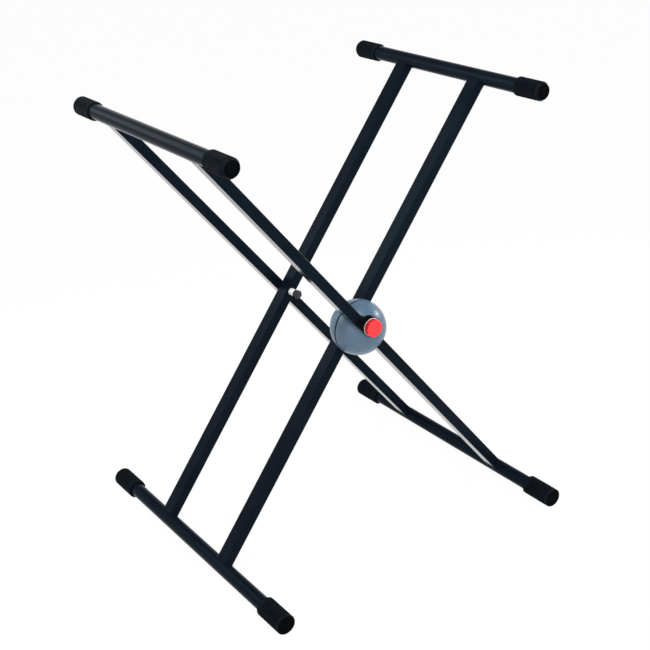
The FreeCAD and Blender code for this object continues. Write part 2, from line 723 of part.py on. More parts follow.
def make_cowl():
    """Black cowl over leg B: a ramp that rises from the leg to the button's collar."""
    body = new_body("button_cowl")
    for outline in cowl_outline(body, S.cowl_base_height, 0):
        pad(body, outline, COWL_TOP - S.cowl_base_height)
    start = LEG_OUTER_FACE + S.cowl_mouth_lip
    mouth_along = BUTTON_ALONG + S.cowl_reach
    beyond = mouth_along + S.ramp_cut_margin
    above = COWL_TOP + S.ramp_cut_margin
    ramp_top_along = BUTTON_ALONG + S.ramp_top_reach
    slope = Sketch(body, "YZ_Plane")
    slope.polygon([(-start, mouth_along), (-start, beyond), (-above, beyond),
                   (-above, ramp_top_along), (-COWL_TOP, ramp_top_along)])
    pocket(body, slope, THROUGH_BALL, midplane=True)
    leg_window(body, 0, LEG_OUTER_FACE + S.cowl_fit, S.leg_width + 2 * S.cowl_fit)
    place = (BUTTON_ACROSS, BUTTON_ALONG)
    bore_between(body, BUTTON_RADIUS + S.cowl_bore_clearance, 0, THROUGH_BALL, *place)
    seat_low = COWL_TOP + S.guide_ring_proud - S.guide_ring_height
    bore_between(body, GUIDE_RING_RADIUS + S.cowl_fit, seat_low, THROUGH_BALL, *place)
    relief = S.bolt_head_diameter / 2 + S.cowl_head_relief
    head_top = LEG_OUTER_FACE + S.bolt_head_height
    bore_between(body, relief, 0, head_top + S.cowl_head_relief)
    return set_in_frame(body, -1, BALL_Y)


def make_guide_ring():
    """Pale ring in the collar's mouth, in which the button slides."""
    body = new_body("button_guide_ring")
    top = COWL_TOP + S.guide_ring_proud
    profile = Sketch(body, "XZ_Plane", top - S.guide_ring_height)
    profile.circle(GUIDE_RING_RADIUS, BUTTON_ACROSS, BUTTON_ALONG)
    profile.circle(GUIDE_RING_BORE, BUTTON_ACROSS, BUTTON_ALONG)
    pad(body, profile, S.guide_ring_height)
    return set_in_frame(body, -1, BALL_Y)


def make_push_button():
    """Red button: a solid face, a skirt cut clear of the bolt head, and the pin's boss."""
    body = new_body("push_button")
    across, along = BUTTON_ACROSS, BUTTON_ALONG
    skirt_end = LEG_OUTER_FACE + S.button_travel + S.travel_clearance
    disc_between(body, BUTTON_RADIUS, skirt_end, BUTTON_FACE, across, along)
    bore_between(body, BUTTON_RADIUS - S.button_skirt_wall, skirt_end, BUTTON_BACK, across, along)
    bore_between(body, S.bolt_head_diameter / 2 + S.skirt_relief, skirt_end, BUTTON_BACK)
    disc_between(body, PIN_BOSS_RADIUS, BOSS_END, BUTTON_BACK, PIN_ACROSS, along)
    bore_between(body, S.pin_diameter / 2 + S.turning_clearance, BOSS_END,
                 BUTTON_BACK + S.pin_seat_depth, PIN_ACROSS, along)
    fillet(body, S.button_edge_round, is_rim(BUTTON_RADIUS, -BUTTON_FACE))
    return set_in_frame(body, -1, BALL_Y)


def make_lock_pin():
    """Steel pin from the button past leg B and through the lock plate."""
    body = new_body("lock_pin")
    front = BUTTON_BACK + S.pin_seat_depth
    spigot_end = BLOCK_FRONT - S.tooth_thickness - S.spigot_proud
    place = (PIN_ACROSS, BUTTON_ALONG)
    disc_between(body, S.pin_diameter / 2, BLOCK_FRONT, front, *place)
    disc_between(body, S.spigot_diameter / 2, spigot_end, BLOCK_FRONT, *place)
    return set_in_frame(body, -1, BALL_Y)


def make_lock_tooth():
    """Steel block on the pin's end. Its teeth point out at those of the cup."""
    body = new_body("lock_tooth")
    root_radius = BLOCK_TIP_RADIUS - S.tooth_depth
    pitch = 360 / S.tooth_count
    half_tip, half_root = S.tooth_tip_width / 2, S.tooth_root_width / 2
    outline = [(-S.block_half_width, PIN_RADIUS - S.block_back)]
    for step in (-1, 0, 1):
        swing = pitch * step
        for offset, radius in ((-half_root, root_radius), (-half_tip, BLOCK_TIP_RADIUS),
                               (half_tip, BLOCK_TIP_RADIUS), (half_root, root_radius)):
            outline.append((offset * cosine(swing) + radius * sine(swing),
                            radius * cosine(swing) - offset * sine(swing)))
    outline.append((S.block_half_width, PIN_RADIUS - S.block_back))
    block = Sketch(body, "XZ_Plane", BLOCK_FRONT - S.tooth_thickness).polygon(outline)
    pad(body, block, S.tooth_thickness)
    bore_between(body, S.spigot_diameter / 2 + S.turning_clearance,
                 BLOCK_FRONT - S.tooth_thickness, BLOCK_FRONT, 0, PIN_RADIUS)
    return set_in_frame(body, -1, BALL_Y, extra_turn=PIN_ANGLE)


def make_spring():
    """Compression spring round the pin, from the lock plate to the button's boss."""
    body = new_body("button_spring")
    wire = S.spring_wire / 2
    low = LEG_FACE + S.spring_seat_gap
    coil_radius = S.pin_diameter / 2 + S.spring_pin_clearance + wire
    height = BOSS_END - low - S.spring_seat_gap - S.spring_wire
    section = Sketch(body, "XY_Plane").circle(wire, coil_radius, -wire)
    coil = body.newObject("PartDesign::AdditiveHelix", "Coil")
    coil.Profile = section.item
    coil.ReferenceAxis = (section.item, ["V_Axis"])
    coil.Mode = "height-turns-angle"
    coil.Angle = 0
    coil.Reversed = True
    bind(coil, "Height", height)
    bind(coil, "Turns", S.spring_turns)
    return place_on_pin(body, low)


def place_on_pin(item, height):
    """Put a piece that is drawn round its own Y axis onto the lock pin's axis."""
    tilt = -TILT
    item.Placement = Placement(Vector(), Rotation(Vector(0, 1, 0), 1))
    bind(item, "Placement.Rotation.Angle", tilt)
    across, along = PIN_ACROSS, BUTTON_ALONG
    bind(item, "Placement.Base.x", across * cosine(tilt) + along * sine(tilt))
    bind(item, "Placement.Base.y", BALL_Y - height)
    bind(item, "Placement.Base.z", PIVOT_HEIGHT + along * cosine(tilt) - across * sine(tilt))
    return item


def make_lock():
    make_half_shell("ball_shell_front", -1, front=True)
    make_half_shell("ball_shell_rear", +1, front=False)
    make_shell_screws("shell_screws_front", -1, front=True)
    make_shell_screws("shell_screws_rear", +1, front=False)
    make_toothed_cup()
    make_lock_plate()
    make_ring("lock_spacer", -1, BALL_Y - PLATE_BACK, BALL_Y + PLATE_BACK - S.turning_gap,
              S.lock_spacer_diameter / 2, BOLT_HOLE_RADIUS)
    make_cowl()
    make_guide_ring()
    make_push_button()
    make_lock_pin()
    make_lock_tooth()
    make_spring()


# ------------------------------------------------------------------- build and export


def finished_pieces():
    """The bodies and groups that stand for a whole piece, not those inside a group."""
    grouped = [link for item in document.Objects if item.TypeId == "Part::Compound"
               for link in item.Links]
    kinds = ("PartDesign::Body", "Part::Compound")
    return [item for item in document.Objects if item.TypeId in kinds and item not in grouped]


def check_document(pieces):
    """Stop if any object failed to compute or any piece is not a sound solid."""
    for item in document.Objects:
        if "Invalid" in item.State or "Error" in item.State:
            owners = [owner.Label for owner in item.InList]
            raise RuntimeError(f"{item.Label} of {owners} failed: {item.State}")
    for piece in pieces:
        shape = piece.Shape
        if shape.isNull() or not shape.isValid() or not shape.Solids:
            raise RuntimeError(f"{piece.Label} has no sound solid")


def main():
    leg_hole_b = BOLT_HOLE_RADIUS
    leg_hole_a = BUSH_RADIUS + S.bush_fit
    make_frame("a", +1, LEG_A_FRONT_Y, LEG_A_REAR_Y, leg_hole_a)
    make_frame("b", -1, LEG_B_FRONT_Y, LEG_B_REAR_Y, leg_hole_b)
    make_pivots()
    make_lock()
    document.recompute()
    pieces = finished_pieces()
    check_document(pieces)
    os.makedirs("parts", exist_ok=True)
    for piece in pieces:
        piece.Shape.exportStep(f"parts/{piece.Label}.step")
        print(f"{piece.Label:24s} {len(piece.Shape.Solids)} solid(s), "
              f"{piece.Shape.Volume / 1000:9.2f} cm3")


main()
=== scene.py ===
"""Folding keyboard stand: its finishes, its detailed pieces and the studio they stand in.

Lengths are in metres in the part's own frame, which has +Z up, the floor at zero and the bars along Y.
"""

import itertools
import json
import logging
import math
from collections.abc import Callable, Iterable, Iterator
from dataclasses import dataclass, field
from enum import Enum

import bmesh
import bpy
from mathutils import Matrix, Vector

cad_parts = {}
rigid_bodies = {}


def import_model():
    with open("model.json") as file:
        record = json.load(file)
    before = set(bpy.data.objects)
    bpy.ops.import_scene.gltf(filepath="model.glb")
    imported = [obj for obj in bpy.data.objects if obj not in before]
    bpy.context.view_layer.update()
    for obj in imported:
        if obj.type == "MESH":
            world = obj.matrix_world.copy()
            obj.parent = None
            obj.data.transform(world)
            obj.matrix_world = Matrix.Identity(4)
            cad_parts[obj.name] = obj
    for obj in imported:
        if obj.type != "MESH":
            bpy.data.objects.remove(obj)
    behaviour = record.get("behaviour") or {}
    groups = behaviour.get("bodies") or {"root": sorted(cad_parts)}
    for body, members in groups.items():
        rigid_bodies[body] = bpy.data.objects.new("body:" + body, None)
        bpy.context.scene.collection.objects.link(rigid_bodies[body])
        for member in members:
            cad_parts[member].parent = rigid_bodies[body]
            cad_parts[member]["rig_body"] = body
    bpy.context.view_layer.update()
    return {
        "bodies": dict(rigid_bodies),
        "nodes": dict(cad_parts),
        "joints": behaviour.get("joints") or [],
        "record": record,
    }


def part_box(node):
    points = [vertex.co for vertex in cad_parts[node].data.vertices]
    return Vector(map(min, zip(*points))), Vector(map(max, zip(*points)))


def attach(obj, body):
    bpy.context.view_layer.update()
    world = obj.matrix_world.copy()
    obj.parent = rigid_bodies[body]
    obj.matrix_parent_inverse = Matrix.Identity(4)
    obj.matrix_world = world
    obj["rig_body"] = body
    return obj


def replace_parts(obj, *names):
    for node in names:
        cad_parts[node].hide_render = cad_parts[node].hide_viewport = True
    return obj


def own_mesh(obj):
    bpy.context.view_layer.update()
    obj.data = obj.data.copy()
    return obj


LOG = logging.getLogger("keyboard_stand")
MM = 0.001
FULL_TURN = 2 * math.pi
QUARTER_TURN = math.pi / 2
BACKWARD = Vector((0, 1, 0))
MERGE_DISTANCE = 0.001 * MM
RELIEF = "relief"

Colour = tuple[float, float, float]


# ------------------------------------------------------------------- shader maths


class Value:
    """A number in a material, which Python's own operators turn into Math nodes."""

    def __init__(self, graph: "Graph", socket: bpy.types.NodeSocket) -> None:
        """Wrap a socket.

        Args:
            graph: The graph that the socket belongs to.
            socket: An output that gives a number.
        """
        self.graph = graph
        self.socket = socket

    def _math(self, operation: str, *terms: "Value | float") -> "Value":
        """Add one Math node over the terms, in order."""
        made = self.graph.node("ShaderNodeMath", {"operation": operation}, dict(enumerate(terms)))
        return Value(self.graph, made.outputs[0])

    def __add__(self, other: "Value | float") -> "Value":
        """Sum."""
        return self._math("ADD", self, other)

    def __radd__(self, other: float) -> "Value":
        """Sum with a number on the left."""
        return self._math("ADD", other, self)

    def __sub__(self, other: "Value | float") -> "Value":
        """Difference."""
        return self._math("SUBTRACT", self, other)

    def __rsub__(self, other: float) -> "Value":
        """Difference from a number on the left."""
        return self._math("SUBTRACT", other, self)

    def __mul__(self, other: "Value | float") -> "Value":
        """Product."""
        return self._math("MULTIPLY", self, other)

    def __rmul__(self, other: float) -> "Value":
        """Product with a number on the left."""
        return self._math("MULTIPLY", other, self)

    def highest(self, other: "Value | float") -> "Value":
        """The larger of two numbers."""
        return self._math("MAXIMUM", self, other)

    def step_between(self, low: float, high: float) -> "Value":
        """A smooth step from 0 at low to 1 at high.

        Args:
            low: Where the step starts.
            high: Where it ends.

        Returns:
            The step as a number from 0 to 1.
        """
        sockets = {"Value": self, "From Min": low, "From Max": high}
        made = self.graph.node("ShaderNodeMapRange", {"interpolation_type": "SMOOTHSTEP"}, sockets)
        return Value(self.graph, made.outputs[0])


class Graph:
    """The node tree of one material or of the world, emptied and then built."""

    FIRST_COLOUR = 6
    SECOND_COLOUR = 7
    MIXED_COLOUR = 2

    def __init__(self, tree: bpy.types.NodeTree) -> None:
        """Empty the tree.

        Args:
            tree: The node tree to build in.
        """
        self.tree = tree
        tree.nodes.clear()

    def node(self, kind: str, settings: dict | None = None, sockets: dict | None = None) -> bpy.types.Node:
        """Add a node, set it up and then fill its sockets.

        Args:
            kind: The node's type.
            settings: Its settings by name.
            sockets: Values or links by the socket's name or number.

        Returns:
            The node.
        """
        made = self.tree.nodes.new(kind)
        for name, setting in (settings or {}).items():
            setattr(made, name, setting)
        for name, value in (sockets or {}).items():
            target = made.inputs[name]
            source = value.socket if isinstance(value, Value) else value
            if isinstance(source, bpy.types.NodeSocket):
                self.tree.links.new(source, target)
            else:
                target.default_value = source
        return made

    def noise(self, size: float, detail: float = 2.0, stretch: Colour = (1, 1, 1)) -> Value:
        """Soft noise fixed to the piece.

        Args:
            size: Width of its blotches in metres.
            detail: Layers of finer noise.
            stretch: Scale along each axis, below 1 for streaks.

        Returns:
            The noise, from 0 to 1.
        """
        place = self.node("ShaderNodeTexCoord").outputs["Object"]
        scaled = self.node("ShaderNodeMapping", None, {"Vector": place, "Scale": stretch})
        sockets = {"Vector": scaled.outputs[0], "Scale": 1 / size, "Detail": detail}
        return Value(self, self.node("ShaderNodeTexNoise", None, sockets).outputs[0])

    def attribute(self, name: str) -> Value:
        """A number that the piece's own mesh carries."""
        return Value(self, self.node("ShaderNodeAttribute", {"attribute_name": name}).outputs["Fac"])

    def facing_away(self) -> Value:
        """How far the surface turns from the viewer, from 0 to 1 at its rim."""
        return Value(self, self.node("ShaderNodeLayerWeight", None, {"Blend": 0.5}).outputs["Facing"])

    def mix(self, factor: Value | float, first: Colour, second: Colour) -> bpy.types.NodeSocket:
        """Blend two colours.

        Args:
            factor: 0 for the first colour and 1 for the second.
            first: A colour.
            second: Another colour.

        Returns:
            The blended colour.
        """
        return self._mixed(factor, (*first, 1), second)

    def blend(self, factor: Value, first: bpy.types.NodeSocket, second: Colour) -> bpy.types.NodeSocket:
        """Blend a colour that varies with a plain one.

        Args:
            factor: 0 for the first colour and 1 for the second.
            first: A socket that gives a colour.
            second: A colour.

        Returns:
            The blended colour.
        """
        return self._mixed(factor, first, second)

    def _mixed(self, factor: Value | float, first: object, second: Colour) -> bpy.types.NodeSocket:
        """Add one colour mix, whose first colour is a value or a link."""
        sockets = {"Factor": factor, self.FIRST_COLOUR: first, self.SECOND_COLOUR: (*second, 1)}
        return self.node("ShaderNodeMix", {"data_type": "RGBA"}, sockets).outputs[self.MIXED_COLOUR]

    def bump(self, height: Value, depth: float, strength: float = 1.0) -> bpy.types.NodeSocket:
        """A bumped normal.

        Args:
            height: The relief, from 0 to 1.
            depth: Its full depth in metres.
            strength: How much of it shows.

        Returns:
            The normal.
        """
        sockets = {"Height": height, "Distance": depth, "Strength": strength}
        return self.node("ShaderNodeBump", None, sockets).outputs[0]


def surface(name: str, build: Callable[[Graph], dict]) -> bpy.types.Material:
    """Make a material with one Principled surface.

    Args:
        name: The material's name.
        build: Gives the surface's sockets, as values or links by name.

    Returns:
        The material.
    """
    material = bpy.data.materials.new(name)
    material.use_nodes = True
    graph = Graph(material.node_tree)
    shader = graph.node("ShaderNodeBsdfPrincipled", None, build(graph))
    graph.node("ShaderNodeOutputMaterial", None, {"Surface": shader.outputs[0]})
    return material


# ------------------------------------------------------------------- finishes


@dataclass(frozen=True)
class PowderCoat:
    """Black powder coat with a cool tint, a fine orange peel and a gloss that grows towards its rims."""

    name: str = "black_powder_coat"
    dark: Colour = (0.0032, 0.0056, 0.0100)
    light: Colour = (0.0046, 0.0076, 0.0132)
    roughness: float = 0.18
    roughness_spread: float = 0.06
    specular: float = 0.032
    tint: Colour = (0.45, 0.82, 1.0)
    sheen: float = 0.9
    sheen_start: float = 0.64
    sheen_end: float = 0.88
    sheen_roughness: float = 0.12
    peel_size: float = 1.6 * MM
    peel_depth: float = 0.035 * MM
    cloud_size: float = 70 * MM
    cloud_edge: tuple[float, float] = (0.3, 0.7)

    def material(self) -> bpy.types.Material:
        """Make the material."""
        return surface(self.name, self._sockets)

    def _sockets(self, graph: Graph) -> dict:
        """Give the surface's sockets."""
        cloud = graph.noise(self.cloud_size, detail=3.0)
        peel = graph.noise(self.peel_size, detail=1.0)
        return {
            "Base Color": graph.mix(cloud.step_between(*self.cloud_edge), self.dark, self.light),
            "Roughness": self.roughness + cloud * self.roughness_spread,
            "Specular IOR Level": self.specular,
            "Specular Tint": (*self.tint, 1),
            "Coat Weight": graph.facing_away().step_between(self.sheen_start, self.sheen_end) * self.sheen,
            "Coat Roughness": self.sheen_roughness,
            "Normal": graph.bump(peel, self.peel_depth),
        }


@dataclass(frozen=True)
class Rubber:
    """Black moulded rubber, matt, with painted light on its rib crests, partly wear as well, and painted
    shade in its grooves.
    """

    dark: Colour = (0.0007, 0.0012, 0.0018)
    # painted light: the lighter colour that rib crests and the side band take, varied by real bloom patches
    bloom_and_crest_light: Colour = (0.0072, 0.0108, 0.0150)
    drift: float = 0.35
    roughness: float = 0.46
    roughness_spread: float = 0.08
    specular: float = 0.018
    grain_size: float = 0.9 * MM
    grain_depth: float = 0.008 * MM
    bloom_size: float = 12 * MM
    bloom_edge: tuple[float, float] = (0.35, 0.75)

    def material(self) -> bpy.types.Material:
        """Make the material."""
        return surface("black_rubber", self._sockets)

    def _sockets(self, graph: Graph) -> dict:
        """Give the surface's sockets."""
        bloom_and_crest_light = graph.noise(self.bloom_size, detail=4.0).step_between(*self.bloom_edge)
        grain = graph.noise(self.grain_size, detail=2.0)
        # painted light and shade: the crest height mark lightens crests and the side band and leaves grooves
        # and the end dark
        crest_light_and_wear = graph.attribute(RELIEF) * (1 - self.drift + bloom_and_crest_light * self.drift)
        return {
            "Base Color": graph.mix(crest_light_and_wear, self.dark, self.bloom_and_crest_light),
            "Roughness": self.roughness + grain * self.roughness_spread,
            "Specular IOR Level": self.specular,
            "Normal": graph.bump(grain, self.grain_depth),
        }


@dataclass(frozen=True)
class MouldedPlastic:
    """Injection-moulded plastic whose colour drifts a little and whose skin has a faint ripple."""

    name: str
    colour: Colour
    drift: Colour
    roughness: float
    roughness_spread: float = 0.06
    specular: float = 0.5
    ripple_size: float = 14 * MM
    ripple_depth: float = 0.02 * MM
    drift_edge: tuple[float, float] = (0.35, 0.7)

    def material(self) -> bpy.types.Material:
        """Make the material."""
        return surface(self.name, self._sockets)

    def _sockets(self, graph: Graph) -> dict:
        """Give the surface's sockets."""
        drift = graph.noise(self.ripple_size * 2, detail=3.0)
        ripple = graph.noise(self.ripple_size, detail=2.0)
        return {
            "Base Color": graph.mix(drift.step_between(*self.drift_edge), self.colour, self.drift),
            "Roughness": self.roughness + drift * self.roughness_spread,
            "Specular IOR Level": self.specular,
            "Normal": graph.bump(ripple, self.ripple_depth),
        }


@dataclass(frozen=True)
class ButtonPlastic(MouldedPlastic):
    """The push button's plastic, bright on its face and with painted shade on its side, which slides in the
    cowl.
    """

    # painted shade: the darker red of the side stands for the shade and the black cowl's reflection that
    # fall on it
    side: Colour = (0.44, 0.011, 0.013)
    face_depth: tuple[float, float] = (0.7 * MM, 1.6 * MM)

    def _sockets(self, graph: Graph) -> dict:
        """Give the surface's sockets."""
        sockets = super()._sockets(graph)
        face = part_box("push_button")[0].y
        place = graph.node("ShaderNodeTexCoord").outputs["Object"]
        along = Value(graph, graph.node("ShaderNodeSeparateXYZ", None, {0: place}).outputs["Y"])
        # painted shade: from just behind the face the colour turns to the side's darker red
        painted_side_shade = along.step_between(face + self.face_depth[0], face + self.face_depth[1])
        sockets["Base Color"] = graph.blend(painted_side_shade, sockets["Base Color"], self.side)
        return sockets


@dataclass(frozen=True)
class PlatedSteel:
    """Turned or pressed steel under a thin plating, with fine working marks."""

    name: str
    colour: Colour
    stain: Colour
    roughness: float
    roughness_spread: float = 0.15
    mark_size: float = 0.6 * MM
    mark_depth: float = 0.015 * MM
    mark_stretch: Colour = (1.0, 0.08, 1.0)
    stain_size: float = 6 * MM
    stain_edge: tuple[float, float] = (0.4, 0.75)

    def material(self) -> bpy.types.Material:
        """Make the material."""
        return surface(self.name, self._sockets)

    def _sockets(self, graph: Graph) -> dict:
        """Give the surface's sockets."""
        marks = graph.noise(self.mark_size, detail=2.0, stretch=self.mark_stretch)
        stain = graph.noise(self.stain_size, detail=3.0)
        return {
            "Base Color": graph.mix(stain.step_between(*self.stain_edge), self.colour, self.stain),
            "Metallic": 1.0,
            "Roughness": self.roughness + marks * self.roughness_spread,
            "Normal": graph.bump(marks, self.mark_depth),
        }


class Slot(Enum):
    """The record's material slots."""

    POWDER_COAT = "black_powder_coat"
    RUBBER = "black_rubber"
    BALL = "ball_plastic"
    COWL = "cowl_plastic"
    BUTTON = "button_plastic"
    NYLON = "natural_nylon"
    BLACK_NYLON = "black_nylon"
    ZINC = "zinc_steel"
    BLACK_OXIDE = "black_oxide_steel"
    SPRING = "spring_steel"


def all_finishes() -> dict[Slot, bpy.types.Material]:
    """Make every material.

    Returns:
        The materials by the record's slot.
    """
    ball = MouldedPlastic("ball_plastic", colour=(0.070, 0.120, 0.172), drift=(0.078, 0.130, 0.186),
                          roughness=0.27, specular=0.34, ripple_depth=0.004 * MM)
    cowl = MouldedPlastic("cowl_plastic", colour=(0.0012, 0.0018, 0.0026), drift=(0.0020, 0.0028, 0.0038),
                          roughness=0.24, specular=0.05)
    button = ButtonPlastic("button_plastic", colour=(0.90, 0.026, 0.030), drift=(0.93, 0.034, 0.036),
                           roughness=0.24, specular=0.30)
    nylon = MouldedPlastic("natural_nylon", colour=(0.70, 0.70, 0.68), drift=(0.76, 0.76, 0.75),
                           roughness=0.40)
    black_nylon = MouldedPlastic("black_nylon", colour=(0.0030, 0.0044, 0.0062),
                                 drift=(0.0044, 0.0060, 0.0080), roughness=0.36, specular=0.05)
    zinc = PlatedSteel("zinc_steel", colour=(0.60, 0.62, 0.65), stain=(0.52, 0.54, 0.56), roughness=0.24)
    oxide = PlatedSteel("black_oxide_steel", colour=(0.045, 0.050, 0.058), stain=(0.070, 0.072, 0.076),
                        roughness=0.30)
    spring = PlatedSteel("spring_steel", colour=(0.42, 0.43, 0.45), stain=(0.34, 0.34, 0.35),
                         roughness=0.26)
    finishes = {
        Slot.POWDER_COAT: PowderCoat(), Slot.RUBBER: Rubber(), Slot.BALL: ball, Slot.COWL: cowl,
        Slot.BUTTON: button, Slot.NYLON: nylon, Slot.BLACK_NYLON: black_nylon, Slot.ZINC: zinc,
        Slot.BLACK_OXIDE: oxide, Slot.SPRING: spring,
    }
    return {slot: finish.material() for slot, finish in finishes.items()}


# ------------------------------------------------------------------- mesh helpers


def finish_mesh(bm: bmesh.types.BMesh, name: str, sharp_angle: float = 32.0) -> bpy.types.Object:
    """Turn a bmesh into a smooth-shaded object with its sharp edges kept.

    Args:
        bm: The mesh, which is freed.
        name: The object's name.
        sharp_angle: Edges that turn by more than this many degrees stay sharp.

    Returns:
        The object, linked to the scene.
    """
    mesh = bpy.data.meshes.new(name)
    bm.to_mesh(mesh)
    bm.free()
    mesh.shade_smooth()
    mesh.set_sharp_from_angle(angle=math.radians(sharp_angle))
    piece = bpy.data.objects.new(name, mesh)
    bpy.context.scene.collection.objects.link(piece)
    return piece


def mid_line(low: Vector, high: Vector, along: float = 0.0) -> Vector:
    """The point in the middle of a box seen along Y, at a given place along Y.

    Args:
        low: The box's lowest corner.
        high: Its highest corner.
        along: The point's place along Y.

    Returns:
        The point.
    """
    return Vector(((low.x + high.x) / 2, along, (low.z + high.z) / 2))


def report(piece: bpy.types.Object) -> None:
    """Log a finished piece."""
    LOG.info("%s, %d faces", piece.name, len(piece.data.polygons))


def spin_profile(points: Iterable[tuple[float, float]], steps: int) -> bmesh.types.BMesh:
    """Turn a profile round the Y axis into a closed solid.

    Args:
        points: Radius and place along Y of each point, from the axis round to the axis.
        steps: How many steps the turn takes.

    Returns:
        The solid, about the origin's Y axis.
    """
    bm = bmesh.new()
    made = [bm.verts.new((radius, along, 0)) for radius, along in points]
    edges = [bm.edges.new(pair) for pair in zip(made, made[1:])]
    bmesh.ops.spin(bm, geom=made + edges, cent=(0, 0, 0), axis=BACKWARD, angle=FULL_TURN,
                   steps=steps, use_merge=True)
    bmesh.ops.remove_doubles(bm, verts=bm.verts, dist=MERGE_DISTANCE)
    bmesh.ops.recalc_face_normals(bm, faces=bm.faces)
    return bm


def rounded_corner(radius: float, along: float, rounding: float, steps: int) -> list[tuple[float, float]]:
    """Points of a quarter round at an outer end edge.

    Args:
        radius: The full radius.
        along: The end's place.
        rounding: The quarter round's radius.
        steps: Its steps.

    Returns:
        Radius and place of each point, from the side to the end.
    """
    turns = [QUARTER_TURN * number / steps for number in range(steps + 1)]
    return [(radius - rounding * (1 - math.cos(turn)), along - rounding * (1 - math.sin(turn)))
            for turn in turns]


# ------------------------------------------------------------------- rubber end caps


class CapKind(Enum):
    """Which bar a cap closes."""

    SUPPORT = "support"
    FOOT = "foot"


def bar_ends() -> Iterator[tuple[CapKind, str, str]]:
    """Every end of every bar: the bar's kind, its frame and the end."""
    return itertools.product(CapKind, "ab", ("front", "rear"))


@dataclass
class RubberCap:
    """One ribbed rubber cap, which stands for the plain cap node of the same place."""

    kind: CapKind
    frame: str
    end: str
    ribs: int = 36
    steps_in_rib: int = 4
    rib_depth: float = 1.2 * MM
    # painted light: how light the plain side band is drawn, next to the crests' full lightness
    smooth_band_light: float = 0.9
    row_pitch: float = 2.6 * MM
    row_share: float = 0.08
    bore_clearance: float = 0.1 * MM
    end_wall: float = 5.0 * MM
    mouth_chamfer: float = 2.0 * MM
    shoulder: float = 2.2 * MM
    nose_round: float = 2.0 * MM
    nose_steps: int = 5
    nose_taper: float = 2.2 * MM
    dish_radius: float = 12.5 * MM
    dish_depth: float = 1.2 * MM
    dish_slope: float = 0.8 * MM
    dome_height: float = 0.7 * MM
    dome_steps: int = 4
    groove_width: float = 2.2 * MM
    groove_depth: float = 1.4 * MM
    end_disc: float = 6.0 * MM
    ridge_count: int = 3
    ridge_pitch: float = 2.4 * MM
    ridge_depth: float = 0.5 * MM
    ridge_waist: tuple[float, float] = (0.25, 0.5)
    ridge_end: float = 0.75
    edge_margin: float = 0.01 * MM
    sharp_angle: float = 40.0
    node: str = field(init=False)

    def __post_init__(self) -> None:
        """Find the cap's node and its sizes in the frame."""
        self.node = f"{self.kind.value}_cap_{self.frame}_{self.end}"
        low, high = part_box(self.node)
        bar_low, bar_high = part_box(f"{self.kind.value}_bar_{self.frame}")
        self.radius = (high.z - low.z) / 2
        self.length = high.y - low.y
        self.bore = (bar_high.z - bar_low.z) / 2 + self.bore_clearance
        self.facing = -1 if self.end == "front" else 1
        self.middle = mid_line(low, high)
        self.tip = low.y if self.facing < 0 else high.y

    def build(self, material: bpy.types.Material) -> bpy.types.Object:
        """Model the cap and put it on its bar.

        Args:
            material: The rubber.

        Returns:
            The piece.
        """
        bm = spin_profile(self._profile(), self.ribs * self.steps_in_rib)
        self._press_ribs(bm)
        if self.facing < 0:
            bmesh.ops.scale(bm, vec=(1, -1, 1), verts=bm.verts)
            bmesh.ops.reverse_faces(bm, faces=bm.faces)
        mouth = self.tip - self.facing * self.length
        bmesh.ops.translate(bm, vec=self.middle + BACKWARD * mouth, verts=bm.verts)
        piece = finish_mesh(bm, f"ribbed_{self.node}", self.sharp_angle)
        piece.data.materials.append(material)
        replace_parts(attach(piece, f"frame_{self.frame}"), self.node)
        return piece

    def _rib_zone(self) -> tuple[float, float]:
        """Where the ribs start and end, from the cap's mouth."""
        start = self.mouth_chamfer + self.shoulder
        if self.kind is CapKind.FOOT:
            return start + self.ridge_count * self.ridge_pitch, self.length - self.nose_round - self.shoulder
        return start, self.length - self.end_disc - self.groove_width - self.shoulder / 2

    def _profile(self) -> list[tuple[float, float]]:
        """The cap's profile, from its floor out round its mouth to the middle of its end."""
        floor = self.length - self.end_wall
        start, end = self._rib_zone()
        points = [(0, floor), (self.bore, floor), (self.bore, 0),
                  (self.radius - self.mouth_chamfer, 0), (self.radius, self.mouth_chamfer)]
        if self.kind is CapKind.FOOT:
            points += self._ridges()
        rows = round((end - start) / self.row_pitch) * 2
        points += [(self.radius, start + (end - start) * row / rows) for row in range(rows + 1)]
        if self.kind is CapKind.SUPPORT:
            points += self._groove()
        nose = self.radius - (self.nose_taper if self.kind is CapKind.SUPPORT else 0)
        points += rounded_corner(nose, self.length, self.nose_round, self.nose_steps)
        return points + self._dish()

    def _ridges(self) -> list[tuple[float, float]]:
        """Ring ridges next to a foot cap's mouth."""
        points = []
        for number in range(self.ridge_count):
            start = self.mouth_chamfer + self.shoulder / 2 + number * self.ridge_pitch
            waist = self.radius - self.ridge_depth
            points.append((self.radius, start))
            points += [(waist, start + self.ridge_pitch * share) for share in self.ridge_waist]
            points.append((self.radius, start + self.ridge_pitch * self.ridge_end))
        return points

    def _groove(self) -> list[tuple[float, float]]:
        """The ring groove behind a support cap's end disc."""
        high = self.length - self.end_disc
        low = high - self.groove_width
        waist = self.radius - self.groove_depth
        ease = self.groove_depth / 3
        return [(self.radius - ease / 2, low), (waist, low + ease), (waist, high - ease),
                (self.radius - ease, high), (self.radius, high + ease)]

    def _dish(self) -> list[tuple[float, float]]:
        """The shallow dish in the end, with its low dome."""
        points = [(self.dish_radius + self.dish_slope, self.length),
                  (self.dish_radius, self.length - self.dish_depth)]
        rim = self.dish_radius - self.dish_slope
        for number in range(self.dome_steps + 1):
            share = number / self.dome_steps
            rise = self.dome_height * math.sin(share * QUARTER_TURN)
            points.append((rim * math.cos(share * QUARTER_TURN), self.length - self.dish_depth + rise))
        return points

